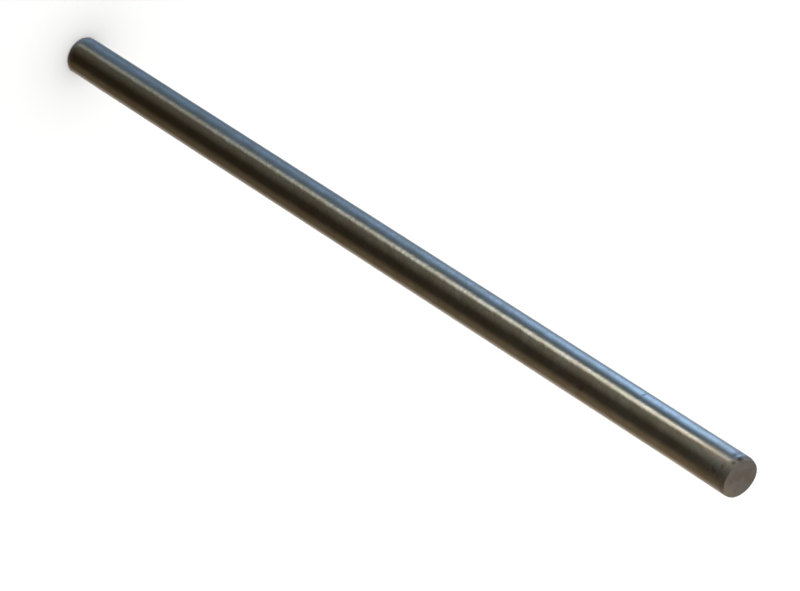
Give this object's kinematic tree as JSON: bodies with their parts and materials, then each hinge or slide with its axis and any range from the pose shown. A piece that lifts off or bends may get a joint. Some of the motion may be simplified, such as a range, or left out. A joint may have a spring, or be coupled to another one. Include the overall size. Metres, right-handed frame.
{
  "type": "round steel bar",
  "caption": "Solid round bar of bright-drawn steel, sawn to length with rounded-over end edges and one cut a little out of square; stock for pins, shafts, turning and light framing.",
  "frame": {"origin": "middle of the lower end face, on the floor that the bar stands on", "axes": "+Z along the bar's axis, up towards the end face that the picture shows; -X towards the long side of that end's tilted cut"},
  "size_m": [0.0126, 0.0126, 0.3005],
  "materials": {
    "bright_steel": "bright drawn and slightly oily, with matt sawn end faces"
  },
  "bodies": {
    "root": {"round_bar": "bright_steel"}
  },
  "joints": []
}
